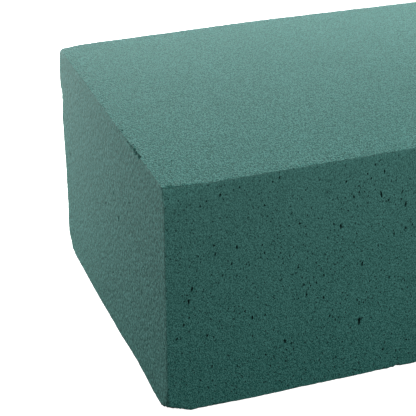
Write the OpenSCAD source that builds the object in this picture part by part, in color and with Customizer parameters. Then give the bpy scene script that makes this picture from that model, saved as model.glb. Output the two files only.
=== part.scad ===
// Floral foam brick: one block of rigid open-cell foam, cut square from a larger slab.
// The length runs along X, the width along Y, and the foam rose along Z.
// The origin is the centre of the face that the brick stands on.

/* [Brick] */
// Length of the brick
brick_length = 230; // [180:5:260]
// Width of the brick
brick_width = 110; // [80:5:130]
// Height of the brick, along the foam's rise
brick_height = 75; // [55:5:100]

/* [Worn edges] */
// Radius that handling leaves on every cut edge
edge_radius = 0.9; // [0.4:0.1:3]
// Facets of a full circle on the worn edges
edge_facets = 48; // [24:8:96]

/* [Crushed corner] */
// How far the crushed corner runs along the length
crush_length = 9.5; // [3:0.5:12]
// How far the crushed corner runs along the width
crush_width = 6.5; // [2:0.5:8]
// How far the crushed corner runs up the height
crush_height = 3.5; // [2:0.5:8]

/* [Hidden] */

foam_green = [0.25, 0.47, 0.44];
brick_size = [brick_length, brick_width, brick_height];
// Corners that have lost foam: [which corner, as signs of X, Y and Z], [reach along X, Y and Z].
worn_corners = [
    [[-1, -1, -1], [crush_length, crush_width, crush_height]],
    [[-1, 1, -1], [2.5, 7, 8]],
    [[-1, 1, 1], [2, 3, 2.5]],
    [[-1, -1, 1], [17, 1.7, 6]],
    [[1, -1, 1], [2.5, 2, 2]],
    [[1, 1, -1], [4, 3, 2.5]],
];
cutter_size = 40;

// A rectangle with true arcs at its corners, centred on the origin.
module rounded_rectangle(width, height, radius) {
    square([width - 2 * radius, height], center = true);
    square([width, height - 2 * radius], center = true);
    for (x = [-1, 1], y = [-1, 1])
        translate([x * (width / 2 - radius), y * (height / 2 - radius)])
            circle(r = radius, $fn = edge_facets);
}

// A block whose twelve edges are rounded, centred on the origin.
module rounded_block(size, radius) {
    intersection() {
        linear_extrude(size.z, center = true)
            rounded_rectangle(size.x, size.y, radius);
        rotate([90, 0, 0])
            linear_extrude(size.y, center = true)
                rounded_rectangle(size.x, size.z, radius);
        rotate([90, 0, 90])
            linear_extrude(size.x, center = true)
                rounded_rectangle(size.y, size.z, radius);
    }
}

// Everything beyond the slanting plane that meets a corner's three edges at the given reach.
module corner_cutter(corner, reach) {
    normal = [for (axis = [0:2]) corner[axis] / reach[axis]];
    plane = 1 / norm(normal);
    translate([for (axis = [0:2]) corner[axis] * brick_size[axis] / 2])
        rotate([0, acos(normal.z / norm(normal)), atan2(normal.y, normal.x)])
            translate([0, 0, cutter_size / 2 - plane])
                cube(cutter_size, center = true);
}

// The block of foam, with its worn edges and corners.
module foam_brick() {
    color(foam_green)
        translate([0, 0, brick_height / 2])
            difference() {
                rounded_block(brick_size, edge_radius);
                for (worn = worn_corners)
                    corner_cutter(worn[0], worn[1]);
            }
}

foam_brick();
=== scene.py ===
import math
import random

import bpy
import numpy as np
from mathutils import Matrix, Vector, noise
from mathutils.geometry import delaunay_2d_cdt


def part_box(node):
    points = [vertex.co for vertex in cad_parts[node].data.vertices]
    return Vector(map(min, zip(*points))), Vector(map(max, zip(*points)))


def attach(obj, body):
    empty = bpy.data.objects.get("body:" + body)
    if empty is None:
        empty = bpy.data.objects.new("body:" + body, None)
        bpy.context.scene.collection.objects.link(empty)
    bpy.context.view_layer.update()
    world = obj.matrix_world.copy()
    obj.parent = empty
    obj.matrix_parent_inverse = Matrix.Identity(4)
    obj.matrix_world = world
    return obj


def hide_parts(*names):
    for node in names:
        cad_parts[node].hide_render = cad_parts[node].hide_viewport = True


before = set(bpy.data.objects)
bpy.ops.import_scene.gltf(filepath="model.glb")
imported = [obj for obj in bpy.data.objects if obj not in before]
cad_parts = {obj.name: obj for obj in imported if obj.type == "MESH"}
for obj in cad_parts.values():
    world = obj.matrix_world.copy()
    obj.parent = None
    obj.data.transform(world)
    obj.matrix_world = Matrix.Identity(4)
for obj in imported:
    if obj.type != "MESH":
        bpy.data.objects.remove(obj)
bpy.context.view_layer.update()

# Lengths are in millimetres until the mesh is written, which is in metres.
MM = 0.001

# The brick, from the CAD node that this piece stands for.
node_low, node_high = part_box("foam_brick")
LOW = np.array(node_low) / MM
HIGH = np.array(node_high) / MM
CENTRE = (LOW + HIGH) / 2
HALF = (HIGH - LOW) / 2

# Each face is a flat chart: its name, the corner where u and v are 0, and the directions of u and v.
FACES = (
    ("front", (-1, -1, -1), (1, 0, 0), (0, 0, 1)),
    ("left", (-1, 1, -1), (0, -1, 0), (0, 0, 1)),
    ("back", (1, 1, -1), (-1, 0, 0), (0, 0, 1)),
    ("right", (1, -1, -1), (0, 1, 0), (0, 0, 1)),
    ("top", (-1, -1, 1), (1, 0, 0), (0, 1, 0)),
    ("bottom", (-1, 1, -1), (1, 0, 0), (0, -1, 0)),
)
# Where each chart lies on the texture map, in columns of whole charts.
MAP_COLUMNS = (("front", "top", "back", "bottom"), ("left", "right"))
MAP_GAP = 3.0

# Mesh density: points every EDGE_STEP along the edges, then rings of (distance in, spacing), then a grid.
EDGE_STEP = 0.5
RINGS = (
    (0.2, 0.5),
    (0.45, 0.5),
    (0.75, 0.6),
    (1.15, 0.7),
    (1.7, 0.9),
    (2.4, 1.1),
    (3.3, 1.4),
    (4.5, 1.9),
)
GRID_STEP = 2.3
GRID_START = 6.0

# Wear: how far the edges are rounded, and spots where they are rounded more or less: (place, reach, extra).
EDGE_RADIUS = 0.4
LEAST_EDGE_RADIUS = 0.2
WORN_SPOTS = (
    ((-115, -55, 34), 60, -0.3),
    ((-115, 30, 75), 30, 0.3),
    ((-115, 55, 75), 9, 1.6),
    ((-115, 55, 0), 10, 1.8),
    ((-115, -55, 0), 7, 0.8),
    ((115, 55, 75), 10, 1.0),
    ((115, -55, 0), 8, 1.2),
    ((60, 55, 0), 24, 0.6),
    ((115, 10, 75), 22, 0.6),
    ((-104, -55, 0), 18, 1.0),
    ((-115, -25, 0), 18, 1.1),
)
# Places where the foam has been pressed out of true: (place, reach, push).
HOLLOWS = (
    ((22, 55, 75), 75, (0.0, -0.9, -0.7)),
    ((-115, 55, 22), 45, (0.4, -0.7, 0.0)),
)
# Corners that have broken off: (signs of the corner, reach along X, Y and Z).
BROKEN_CORNERS = (
    ((-1, -1, -1), (9.5, 6.5, 3.5)),
    ((-1, 1, -1), (2.5, 7.0, 8.0)),
    ((-1, 1, 1), (2.0, 3.0, 2.5)),
    ((-1, -1, 1), (17.0, 1.7, 6.0)),
    ((1, -1, 1), (2.5, 2.0, 2.0)),
    ((1, 1, -1), (4.0, 3.0, 2.5)),
)
BREAK_ROUGHNESS = 0.28
# Bites out of the edges: (centre of a ball, its radius). The ball's centre is outside the foam.
BITES = (
    ((-115.9, 55.9, 58.6), 2.9),
    ((-115.9, 55.9, 56.2), 3.0),
    ((-116.2, 56.2, 53.2), 2.8),
    ((-115.2, -8.4, 75.2), 0.7),
    ((-115.3, -14.6, 74.4), 0.8),
    ((-115.3, -19.0, 75.1), 0.8),
    ((-115.2, -20.6, 75.2), 0.8),
    ((-115.4, -22.6, 74.8), 0.9),
    ((-115.3, -25.0, 75.1), 1.0),
    ((-115.3, -26.3, 74.6), 1.0),
    ((-115.2, -28.0, 75.2), 1.2),
    ((-115.3, -29.6, 74.6), 1.1),
    ((-115.2, -31.1, 75.1), 1.1),
    ((-115.3, -32.7, 74.8), 1.2),
    ((-115.3, -38.2, 75.2), 0.8),
    ((-113.1, -53.5, 75.0), 0.55),
    ((-112.5, -53.4, 75.0), 0.6),
    ((-111.9, -53.4, 75.0), 0.6),
    ((-111.3, -53.5, 75.0), 0.55),
    ((-115.0, -55.1, 4.6), 0.85),
    ((-40.4, -56.0, -1.0), 2.2),
    ((-42.6, -55.8, -0.9), 1.6),
)
RANDOM_BITES = 110

# Pinholes that stand out on the front, left and top: (u, v on the chart), (half width, half height).
FRONT_PINHOLES = (
    ((16.5, 70.5), (0.3, 0.52)),
    ((21.5, 53), (0.26, 0.71)),
    ((8, 42), (0.26, 0.95)),
    ((7, 38), (0.26, 0.9)),
    ((12.5, 25.5), (0.26, 0.57)),
    ((14, 14.5), (0.24, 0.52)),
    ((26.5, 28.5), (0.27, 0.71)),
    ((37, 18), (0.3, 0.76)),
    ((61, 19.5), (0.36, 1.28)),
    ((66, 61.5), (0.27, 1.04)),
    ((66.5, 69), (0.21, 0.66)),
    ((74, 57), (0.32, 0.9)),
    ((72.5, 59), (0.19, 0.47)),
    ((53.5, 53.5), (0.21, 0.85)),
    ((53, 51.5), (0.19, 0.57)),
    ((61, 39.5), (0.24, 0.81)),
    ((74.5, 49), (0.24, 0.57)),
    ((49, 30.5), (0.27, 0.52)),
    ((40.5, 42.5), (0.22, 0.47)),
    ((69.5, 7.5), (0.27, 0.57)),
    ((20, 48), (0.19, 0.57)),
    ((15, 52), (0.19, 0.52)),
)
LEFT_PINHOLES = (
    ((65.5, 43.5), (0.35, 0.9)),
    ((61, 50), (0.25, 0.7)),
    ((87, 29.5), (0.3, 0.7)),
)
TOP_PINHOLES = (
    ((0.95, 40.6), (0.36, 0.42)),
    ((1.1, 30.3), (0.24, 0.34)),
    ((1.6, 35.2), (0.16, 0.22)),
    ((43.5, 9.5), (0.3, 0.4)),
    ((8, 16.5), (0.25, 0.3)),
    ((64, 13.5), (0.25, 0.3)),
)
PINHOLES_PER_CM2 = {"front": 4.2, "back": 3.0, "left": 1.6, "right": 1.6, "top": 0.35, "bottom": 0.35}
# Rings of points from a pinhole's lip down: (size, share of its depth, darkness of its painted shade).
PINHOLE_RINGS = (
    (1.18, 0.0, 0.0),
    (0.95, 0.3, 0.75),
    (0.6, 0.85, 1.0),
)

random.seed(41)


def noise_at(points, size, channel, stretch=1.0):
    """Smooth noise of about -1 to 1 at each point; size is its grain, drawn out along Z by stretch."""
    offset = Vector((17.3 * channel, 5.1, -9.7 * channel))
    scale = Vector((1 / size, 1 / size, 1 / (size * stretch)))
    return np.array([noise.noise(Vector(p) * scale + offset) for p in points])


def smooth_step(low, high, value):
    """0 below low, 1 above high, and a smooth ramp between them."""
    t = np.clip((value - low) / (high - low), 0, 1)
    return t * t * (3 - 2 * t)


# ---- points of one face -------------------------------------------------------------------------


def border_points(length, width):
    """Points along the four edges of a chart. Two faces that share an edge get the same points on it."""
    points = []
    for side, other, swap in ((length, width, False), (width, length, True)):
        count = round(side / EDGE_STEP)
        for i in range(count):
            along = side * i / count
            here = [(along, 0.0), (side - along, other)]
            points += [(b, a) for a, b in here] if swap else here
    corners = {(0.0, width), (length, 0.0)}
    return [p for p in points if p not in corners] + sorted(corners)


def ring_points(length, width):
    """Points on rings that run round a chart inside its edges, with a little jitter."""
    points = []
    for inset, step in RINGS:
        across, up = length - 2 * inset, width - 2 * inset
        for side, other, swap in ((across, up, False), (up, across, True)):
            count = round(side / step)
            for i in range(count):
                for far in (False, True):
                    along = inset + side * (i + 0.5 + random.uniform(-0.25, 0.25)) / count
                    off = inset * random.uniform(0.88, 1.12)
                    off = other + 2 * inset - off if far else off
                    points.append((off, along) if swap else (along, off))
    return points


def grid_points(length, width):
    """A jittered grid of points over the middle of a chart."""
    points = []
    rows = round((width - 2 * GRID_START) / (GRID_STEP * 0.87))
    columns = round((length - 2 * GRID_START) / GRID_STEP)
    for row in range(rows + 1):
        for column in range(columns + 1):
            u = GRID_START + (length - 2 * GRID_START) * (column + 0.5 * (row % 2)) / (columns + 0.5)
            v = GRID_START + (width - 2 * GRID_START) * row / rows
            points.append((u + random.uniform(-0.5, 0.5), v + random.uniform(-0.5, 0.5)))
    return points


def random_pinholes(name, length, width, crowd):
    """Pinholes in loose clusters. On a side face they are slits, because the cells are tall."""
    upright = name not in ("top", "bottom")
    holes = []
    for _ in range(round(PINHOLES_PER_CM2[name] * length * width / 100)):
        for _ in range(6):
            u = random.uniform(1.6, length - 1.6)
            v = random.uniform(2.2, width - 2.2)
            if random.random() < 0.55 + 0.9 * noise.noise(Vector((u / 14, v / 14, crowd))):
                break
        size = random.uniform(0, 1) ** 2.2
        half_width = 0.11 + 0.13 * size
        tall = random.uniform(1.3, 2.6) if upright else random.uniform(0.9, 1.3)
        holes.append(((u, v), (half_width, half_width * tall)))
    return holes


def clear_pinholes(holes):
    """Leaves out each hole that would touch one before it."""
    kept = []
    for (u, v), (a, b) in holes:
        clear = all(
            abs(u - k[0][0]) > (a + k[1][0]) * 1.5 + 0.25 or abs(v - k[0][1]) > (b + k[1][1]) * 1.4 + 0.25
            for k in kept
        )
        if clear:
            kept.append(((u, v), (a, b)))
    return kept


def pinhole_points(hole):
    """Rings of points from a pinhole's lip to its floor, each as (u, v, depth, darkness)."""
    (u, v), (a, b) = hole
    deep = min(2.6 * a + 0.35 * b, 1.7)
    lean = random.uniform(-0.16, 0.16)
    count = 8 if a < 0.25 else 10
    rough = [random.uniform(0.86, 1.14) for _ in range(count)]
    points = []
    for scale, depth, dark in PINHOLE_RINGS:
        for i in range(count):
            angle = 2 * math.pi * (i + 0.5) / count
            du = a * scale * rough[i] * math.cos(angle)
            dv = b * scale * rough[i] * math.sin(angle)
            points.append((u + du + lean * dv, v + dv, depth * deep, dark))
    for dv in (-0.3 * b, 0.0, 0.3 * b):
        points.append((u + lean * dv, v + dv, deep, 1.0))
    return points


def outside_holes(points, holes):
    """The points that aren't inside or close round a pinhole."""
    flat = np.array(points)
    keep = np.ones(len(flat), bool)
    for (u, v), (a, b) in holes:
        across = (flat[:, 0] - u) / (a * 1.35 + 0.18)
        up = (flat[:, 1] - v) / (b * 1.25 + 0.18)
        keep &= across**2 + up**2 > 1
    return flat[keep]


def face_sheet(name, length, width):
    """One face as a flat triangulated sheet: points (u, v, depth, darkness) and triangles."""
    chosen = {"front": FRONT_PINHOLES, "left": LEFT_PINHOLES, "top": TOP_PINHOLES}.get(name, ())
    crowd = 3.7 * [face[0] for face in FACES].index(name)
    holes = clear_pinholes(list(chosen) + random_pinholes(name, length, width, crowd))
    border = np.array(border_points(length, width))
    inner = outside_holes(ring_points(length, width) + grid_points(length, width), holes)
    plain = np.vstack([border, inner])
    plain = np.hstack([plain, np.zeros((len(plain), 2))])
    pits = np.array([p for hole in holes for p in pinhole_points(hole)])
    points = np.vstack([plain, pits])
    flat = [Vector(p[:2]) for p in points]
    _, _, triangles, given, _, _ = delaunay_2d_cdt(flat, [], [], 0, 1e-9, True)
    order = np.array([same[0] for same in given])
    return points, order[np.array(triangles)]


# ---- shaping ------------------------------------------------------------------------------------


def edge_radius_at(points):
    """How far the brick's edges are rounded at each point."""
    radius = EDGE_RADIUS * (1 + 0.5 * noise_at(points, 11, 1) + 0.25 * noise_at(points, 3, 2))
    for place, reach, extra in WORN_SPOTS:
        away = np.linalg.norm(points - np.array(place), axis=1)
        radius += extra * (1 - smooth_step(0, reach, away))
    return np.clip(radius, LEAST_EDGE_RADIUS, None)


def rounded(points):
    """Moves points of the sharp brick on to the brick with rounded edges; also gives the way out."""
    radius = edge_radius_at(points)[:, None]
    core = np.clip(points, LOW + radius, HIGH - radius)
    out = points - core
    out /= np.linalg.norm(out, axis=1)[:, None]
    return core + out * radius, out


def edge_distance(points):
    """Distance of each point of the sharp brick to the nearest edge."""
    gaps = HALF - np.abs(points - CENTRE)
    gaps.sort(axis=1)
    return gaps[:, 1]


def crumbled(points, out, to_edge):
    """Presses the skin in by fine noise, more near the edges where whole cells have come away."""
    near = 1 - smooth_step(0.2, 2.2, to_edge)
    wave = 0.06 * (1 + noise_at(points, 45, 3)) + 0.03 * (1 + noise_at(points, 9, 4))
    grain = 0.035 * (1 + noise_at(points, 1.3, 5, 1.8))
    crumbs = np.clip(noise_at(points, 0.9, 6) + 0.1, 0, None) * 0.15
    lumps = np.clip(noise_at(points, 2.6, 7), 0, None) * 0.10
    return points - out * (wave + grain + near * (crumbs + lumps))[:, None]


def pressed(points):
    """Moves the foam round each hollow."""
    for place, reach, push in HOLLOWS:
        away = np.linalg.norm(points - np.array(place), axis=1)
        points = points + np.outer(1 - smooth_step(0, reach, away), push)
    return points


def broken(points):
    """Cuts the broken corners off along rough slanting planes."""
    rough = BREAK_ROUGHNESS * (noise_at(points, 1.6, 8) + 0.6 * noise_at(points, 0.7, 9))
    for signs, reach in BROKEN_CORNERS:
        corner = CENTRE + HALF * np.array(signs)
        normal = np.array(signs) / np.array(reach)
        size = np.linalg.norm(normal)
        above = (points - corner) @ (normal / size) + 1 / size
        points = points - np.outer(np.clip(above + rough, 0, None) * (above > -0.3), normal / size)
    return points


def random_bites():
    """Small balls along all the edges, each of which takes a crumb of foam away."""
    bites = []
    for _ in range(RANDOM_BITES):
        along = random.randrange(3)
        place = CENTRE + HALF * np.array([random.choice((-1, 1)) for _ in range(3)])
        place[along] = random.uniform(LOW[along], HIGH[along])
        size = 0.45 + 1.0 * random.random() ** 4
        out = np.sign(place - CENTRE)
        out[along] = 0
        bites.append((place + out * size * random.uniform(0.45, 0.62), size))
    return bites


def bitten(points):
    """Pushes points that lie inside a ball out to its surface; also gives how much painted shade each point
    in a bite gets.
    """
    rough = 1 + 0.22 * noise_at(points, 0.8, 10)
    before = points.copy()
    for centre, size in list(BITES) + random_bites():
        off = points - np.array(centre)
        away = np.linalg.norm(off, axis=1)
        inside = away < size * rough
        grown = (size * rough / np.maximum(away, 1e-6))[inside, None]
        points[inside] = np.array(centre) + off[inside] * grown
    return points, smooth_step(0.1, 0.6, np.linalg.norm(points - before, axis=1))


def map_places():
    """Where each chart's corner lies on the texture map, and the map's side, in millimetres."""
    sizes = {name: (abs(np.dot(HALF, u)) * 2, abs(np.dot(HALF, v)) * 2) for name, _, u, v in FACES}
    places = {}
    x = MAP_GAP
    side = 0.0
    for column in MAP_COLUMNS:
        y = MAP_GAP
        for name in column:
            places[name] = (x, y)
            y += sizes[name][1] + MAP_GAP
        x += max(sizes[name][0] for name in column) + MAP_GAP
        side = max(side, x, y)
    return places, side


def brick_surface():
    """The whole skin: points, three tints per point (painted shade in the pinholes, dust on the edges,
    painted shade in the bites), triangles, and map places per corner.
    """
    places, side = map_places()
    sharp, drops, darks, triangles, maps = [], [], [], [], []
    start = 0
    for name, signs, u_way, v_way in FACES:
        u_way, v_way = np.array(u_way, float), np.array(v_way, float)
        corner = CENTRE + HALF * np.array(signs)
        length, width = 2 * abs(HALF @ u_way), 2 * abs(HALF @ v_way)
        sheet, faces = face_sheet(name, length, width)
        inward = -np.cross(u_way, v_way)
        sharp.append(corner + np.outer(sheet[:, 0], u_way) + np.outer(sheet[:, 1], v_way))
        drops.append(np.outer(sheet[:, 2], inward))
        darks.append(sheet[:, 3])
        triangles.append(faces + start)
        maps.append((sheet[:, :2] + np.array(places[name])) / side)
        start += len(sheet)
    sharp, drops, darks = np.vstack(sharp), np.vstack(drops), np.concatenate(darks)
    triangles, maps = np.vstack(triangles), np.vstack(maps)

    # Faces that share an edge have their points there in the same places, so those become one point.
    keys = np.round(sharp * 1e4 + np.where(drops != 0, 0.5, 0)).astype(np.int64)
    _, first, same = np.unique(keys, axis=0, return_index=True, return_inverse=True)
    same = same.ravel()
    points = sharp[first]
    to_edge = edge_distance(points)
    shaped, out = rounded(points)
    shaped = pressed(crumbled(shaped, out, to_edge))
    shaped, bite_shade = bitten(broken(shaped))
    # The pinholes and bites get painted shade; the edges get dust.
    shades = {"pit_shade": darks[first], "edge": 1 - smooth_step(0.0, 1.6, to_edge), "bite_shade": bite_shade}
    return shaped + drops[first], shades, same[triangles], maps[triangles.ravel()]


def pinhole_lips(mesh, dark, triangles):
    """Which edges of the mesh lie between a pinhole and the skin round it, so that the lip stays crisp."""
    inside = dark[triangles].max(axis=1) > 0
    sides = np.concatenate([triangles[:, pair] for pair in ([0, 1], [1, 2], [2, 0])])
    sides = np.sort(sides, axis=1)
    keys, edge = np.unique(sides[:, 0] * len(dark) + sides[:, 1], return_inverse=True)
    lips = keys[np.bincount(edge.ravel(), np.tile(inside, 3)) == 1]
    ends = np.empty(len(mesh.edges) * 2, np.int64)
    mesh.edges.foreach_get("vertices", ends)
    ends = np.sort(ends.reshape(-1, 2), axis=1)
    return np.isin(ends[:, 0] * len(dark) + ends[:, 1], lips)


def foam_brick():
    """The brick as one closed mesh, with its pinholes, crumbled edges and broken corners."""
    points, shades, triangles, corners = brick_surface()
    mesh = bpy.data.meshes.new("green_foam_block")
    mesh.from_pydata((points * MM).tolist(), [], triangles.tolist())
    uv = mesh.uv_layers.new(name="OFBake")
    uv.data.foreach_set("uv", corners.astype(np.float32).ravel())
    for name, values in shades.items():
        layer = mesh.attributes.new(name, "FLOAT", "POINT")
        layer.data.foreach_set("value", values.astype(np.float32))
    mesh.polygons.foreach_set("use_smooth", np.ones(len(mesh.polygons), bool))
    mesh.edges.foreach_set("use_edge_sharp", pinhole_lips(mesh, shades["pit_shade"], triangles))
    mesh.update()
    mesh.validate()
    piece = bpy.data.objects.new("green_foam_block", mesh)
    bpy.context.scene.collection.objects.link(piece)
    return piece


# ---- materials ----------------------------------------------------------------------------------


class Nodes:
    """A short way to lay out a material's nodes."""

    def __init__(self, name):
        self.material = bpy.data.materials.new(name)
        self.material.use_nodes = True
        self.tree = self.material.node_tree
        self.shader = self.tree.nodes["Principled BSDF"]

    def add(self, kind, inputs=(), **settings):
        """A node of this kind, with its settings, and its inputs linked or set."""
        new = self.tree.nodes.new(kind)
        for key, value in settings.items():
            setattr(new, key, value)
        for key, value in dict(inputs).items():
            if isinstance(value, bpy.types.NodeSocket):
                self.tree.links.new(value, new.inputs[key])
            else:
                new.inputs[key].default_value = value
        return new

    def scaled(self, vector, x, y, z):
        """The vector times a size along each axis, then turned so that no face lies flat in the noise."""
        inputs = {"Vector": vector, "Scale": (x, y, z), "Rotation": (0.6, 0.5, 0.4)}
        return self.add("ShaderNodeMapping", inputs).outputs["Vector"]

    def noise(self, vector, scale, detail=2.0, roughness=0.5):
        """Noise of 0 to 1."""
        inputs = {"Vector": vector, "Scale": scale, "Detail": detail, "Roughness": roughness}
        return self.add("ShaderNodeTexNoise", inputs).outputs["Fac"]

    def ramp(self, value, low, high, start=0.0, end=1.0):
        """Start below low, end above high, and a straight line between them."""
        inputs = {"Value": value, "From Min": low, "From Max": high, "To Min": start, "To Max": end}
        return self.add("ShaderNodeMapRange", inputs).outputs["Result"]

    def math(self, operation, a, b):
        """One sum of two numbers."""
        return self.add("ShaderNodeMath", {0: a, 1: b}, operation=operation).outputs[0]

    def mix(self, amount, a, b):
        """Two colours mixed by amount."""
        return self.add("ShaderNodeMix", {0: amount, 6: a, 7: b}, data_type="RGBA").outputs[2]

    def between(self, amount, a, b):
        """A number between a and b, by amount."""
        return self.add("ShaderNodeMix", {0: amount, 2: a, 3: b}, data_type="FLOAT").outputs[0]


# Foam colours: cell walls, open cells, painted shade inside the pinholes, dust on the edges, painted shade
# in the bites, and a painted sheen.
FOAM_PALE = (0.083, 0.3, 0.265, 1)
FOAM_DEEP = (0.0, 0.096, 0.078, 1)
FOAM_PIT_SHADE = (0.0, 0.036, 0.032, 1)
FOAM_DUST = (0.15, 0.31, 0.28, 1)
FOAM_BITE_SHADE = (0.01, 0.085, 0.065, 1)
FOAM_PAINTED_SHEEN = (0.1, 0.225, 0.2, 1)


def foam_material():
    """Dry open-celled foam: tall fine cells, pale cell walls, dark open pores in painted shade and a
    painted sheen.
    """
    n = Nodes("green_foam")
    coordinates = n.add("ShaderNodeTexCoord").outputs
    place = coordinates["Object"]
    even_at = n.scaled(place, 1 / MM, 1 / MM, 1 / MM)
    sides_at = n.scaled(place, 1 / MM, 1 / MM, 0.7 / MM)
    ends_at = n.scaled(place, 1 / MM, 0.6 / MM, 0.4 / MM)
    caps_at = n.scaled(place, 1 / MM, 0.6 / MM, 1 / MM)
    streaks_at = n.scaled(place, 1 / MM, 1 / MM, 0.12 / MM)

    # The sides show cells cut lengthwise, the sawn ends coarser ones, and the caps cells cut across.
    facing = n.add("ShaderNodeSeparateXYZ", {"Vector": coordinates["Normal"]}).outputs
    ends = n.ramp(n.math("ABSOLUTE", facing["X"], 0.0), 0.5, 0.9)
    caps = n.ramp(n.math("ABSOLUTE", facing["Z"], 0.0), 0.5, 0.9)

    def by_face(side, end, cap):
        return n.between(caps, n.between(ends, side, end), cap)

    grit = by_face(
        n.noise(sides_at, 3.5, 1.0, 0.7),
        n.noise(ends_at, 3.1, 1.0, 0.7),
        n.noise(caps_at, 3.1, 1.0, 0.7),
    )
    walls = n.math("SUBTRACT", n.ramp(grit, 0.42, 0.58), 0.5)
    # The grain has more contrast on the ends and caps: partly the cells' own grain, partly painted relief
    # shade from grazing light.
    walls = n.math("ADD", n.math("MULTIPLY", walls, by_face(0.95, 1.3, 1.4)), 0.5)
    colour = n.mix(walls, FOAM_DEEP, FOAM_PALE)

    streaks = n.noise(streaks_at, 0.9, 2.0, 0.5)
    patches = n.noise(even_at, 0.045, 2.0, 0.5)
    colour = n.mix(n.ramp(streaks, 0.35, 0.7, 0.0, 0.12), colour, FOAM_DEEP)
    colour = n.mix(n.ramp(patches, 0.3, 0.7, 0.0, 0.1), colour, FOAM_DEEP)

    # A painted sheen, paler and greyer, thickens up the sides, and across the brick's width on the caps and
    # ends, standing in for the whitening of grazing light.
    spot = n.add("ShaderNodeSeparateXYZ", {"Vector": place}).outputs
    across = n.ramp(spot["Y"], LOW[1] * MM, HIGH[1] * MM)
    up = n.ramp(spot["Z"], LOW[2] * MM, HIGH[2] * MM)
    both = n.math("ADD", n.math("MULTIPLY", across, 0.6), n.math("MULTIPLY", up, 0.4))
    painted_sheen = by_face(
        n.math("MULTIPLY", up, 0.3),
        n.math("MULTIPLY", n.ramp(both, 0.1, 1.0), 0.5),
        n.math("MULTIPLY", across, 0.4),
    )
    colour = n.mix(painted_sheen, colour, FOAM_PAINTED_SHEEN)

    # Pores too small to model: dark specks in the painted pit shade, and dents in the bump.
    pores = n.add("ShaderNodeTexVoronoi", {"Vector": sides_at, "Scale": 1.1})
    chance = n.add("ShaderNodeSeparateColor", {"Color": pores.outputs["Color"]}).outputs["Red"]
    reach = n.ramp(chance, 0.35, 1.0, 0.08, 0.24)
    pore = n.ramp(n.math("SUBTRACT", pores.outputs["Distance"], reach), 0.0, 0.04, 1.0, 0.0)
    pore = n.math("MULTIPLY", pore, n.ramp(chance, 0.35, 0.4))
    pore = n.math("MULTIPLY", pore, by_face(0.85, 0.5, 0.3))
    colour = n.mix(pore, colour, FOAM_PIT_SHADE)

    edge = n.add("ShaderNodeAttribute", attribute_name="edge").outputs["Fac"]
    dusty = n.math("MULTIPLY", n.ramp(edge, 0.7, 1.0), n.ramp(grit, 0.3, 0.6, 0.05, 0.35))
    colour = n.mix(dusty, colour, FOAM_DUST)
    # Painted shade in the bites, where the foam has been scooped away.
    bite_shade = n.add("ShaderNodeAttribute", attribute_name="bite_shade").outputs["Fac"]
    colour = n.mix(n.math("MULTIPLY", bite_shade, 0.6), colour, FOAM_BITE_SHADE)
    # Painted shade inside the pinholes, darker towards their floors.
    pit_shade = n.add("ShaderNodeAttribute", attribute_name="pit_shade").outputs["Fac"]
    colour = n.mix(pit_shade, colour, FOAM_PIT_SHADE)
    n.tree.links.new(colour, n.shader.inputs["Base Color"])

    swell = by_face(n.noise(sides_at, 1.8, 0.0), n.noise(ends_at, 1.8, 0.0), n.noise(caps_at, 1.8, 0.0))
    height = n.math("ADD", n.math("MULTIPLY", grit, 0.35), n.math("MULTIPLY", swell, 0.4))
    height = n.math("MULTIPLY", height, by_face(1.0, 0.8, 2.4))
    height = n.math("SUBTRACT", height, n.math("MULTIPLY", pore, 0.4))
    bump = n.add("ShaderNodeBump", {"Height": height, "Strength": 1.0, "Distance": 0.45 * MM})
    n.tree.links.new(bump.outputs["Normal"], n.shader.inputs["Normal"])
    n.tree.links.new(n.ramp(grit, 0.3, 0.7, 0.86, 1.0), n.shader.inputs["Roughness"])
    n.shader.inputs["Specular IOR Level"].default_value = 0.5
    return n.material


def floor_material():
    """Plain white paper on a light table, so it stays pale all round the brick."""
    n = Nodes("pale_paper")
    place = n.add("ShaderNodeTexCoord").outputs["Object"]
    shade = n.ramp(n.noise(place, 3.0, 2.0), 0.3, 0.7)
    colour = n.mix(shade, (0.88, 0.88, 0.88, 1), (0.92, 0.92, 0.92, 1))
    n.tree.links.new(colour, n.shader.inputs["Base Color"])
    n.shader.inputs["Roughness"].default_value = 0.9
    n.shader.inputs["Specular IOR Level"].default_value = 0.1
    n.shader.inputs["Emission Color"].default_value = (1, 1, 1, 1)
    n.shader.inputs["Emission Strength"].default_value = 0.97
    return n.material


# ---- studio -------------------------------------------------------------------------------------


FLOOR_REACH = 6.0
FLOOR_DROP = 0.0002


def studio_floor():
    """A wide pale floor just under the brick."""
    mesh = bpy.data.meshes.new("floor")
    far = FLOOR_REACH
    mesh.from_pydata([(-far, -far, 0), (far, -far, 0), (far, far, 0), (-far, far, 0)], [], [(0, 1, 2, 3)])
    floor = bpy.data.objects.new("floor", mesh)
    floor.location.z = -FLOOR_DROP
    floor.data.materials.append(floor_material())
    floor.visible_diffuse = False
    floor.visible_glossy = False
    bpy.context.scene.collection.objects.link(floor)
    return floor


def soft_light(name, place, target, size, power):
    """A square soft light at place, aimed at target."""
    lamp = bpy.data.lights.new(name, "AREA")
    lamp.size = size
    lamp.energy = power
    light = bpy.data.objects.new(name, lamp)
    light.location = place
    light.rotation_euler = (Vector(target) - Vector(place)).to_track_quat("-Z", "Y").to_euler()
    bpy.context.scene.collection.objects.link(light)
    return light


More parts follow.
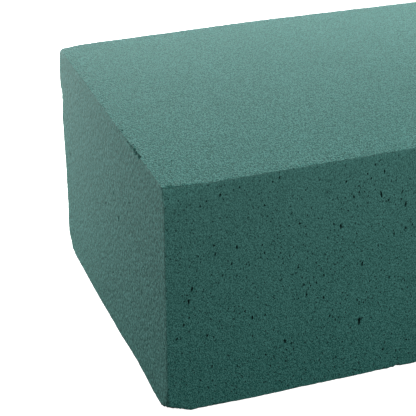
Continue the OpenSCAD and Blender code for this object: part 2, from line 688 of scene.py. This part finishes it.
# Each light: name, place, side in metres and power in watts. All of them face the brick.
LIGHTS = (
    ("front", (-0.05, -0.433, 0.28), 0.3, 0.609),
    ("front_right", (0.12, -0.3, 0.3), 0.15, 0.734),
    ("left", (-0.32, 0.0, 0.2), 0.15, 0.222),
    ("back_left", (-0.2, 0.3, 0.1), 0.15, 1.573),
    ("back", (-0.05, 0.2, 0.14), 0.15, 0.361),
    ("back_right", (0.1, 0.2, 0.14), 0.15, 0.452),
    ("right", (0.25, 0.14, 0.2), 0.15, 0.562),
)
LIGHTS_FACE = (-0.05, 0, 0.04)


def studio_lights():
    """Soft lights all round the brick, and a white backdrop that sheds no light."""
    for name, place, size, power in LIGHTS:
        soft_light(name, place, LIGHTS_FACE, size, power)
    world = bpy.data.worlds.new("studio")
    bpy.context.scene.world = world
    world.use_nodes = True
    world.node_tree.nodes["Background"].inputs["Color"].default_value = (1, 1, 1, 1)
    world.node_tree.nodes["Background"].inputs["Strength"].default_value = 1.0
    world.cycles_visibility.diffuse = False
    world.cycles_visibility.glossy = False
    bpy.context.scene.view_settings.view_transform = "Standard"


# The camera's place in metres, the way to its right and the way back from it, and its lens in millimetres.
CAMERA_PLACE = (-0.22608, -0.39571, 0.26118)
CAMERA_RIGHT = (0.93931, -0.34308, -0.00244)
CAMERA_BACK = (-0.30144, -0.82866, 0.47167)
CAMERA_LENS = 129.43
CAMERA_SENSOR = 36.0


def studio_camera():
    """The camera, 28 degrees above the brick and 20 degrees round from its long face."""
    right, back = Vector(CAMERA_RIGHT), Vector(CAMERA_BACK)
    turn = Matrix((right, back.cross(right), back)).transposed()
    data = bpy.data.cameras.new("camera")
    data.lens = CAMERA_LENS
    data.sensor_width = CAMERA_SENSOR
    data.clip_start = 0.01
    camera = bpy.data.objects.new("camera", data)
    camera.matrix_world = Matrix.Translation(CAMERA_PLACE) @ turn.to_4x4()
    bpy.context.scene.collection.objects.link(camera)
    bpy.context.scene.camera = camera


studio_camera()
studio_floor()
studio_lights()

brick = foam_brick()
brick.data.materials.append(foam_material())
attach(brick, "root")
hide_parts("foam_brick")
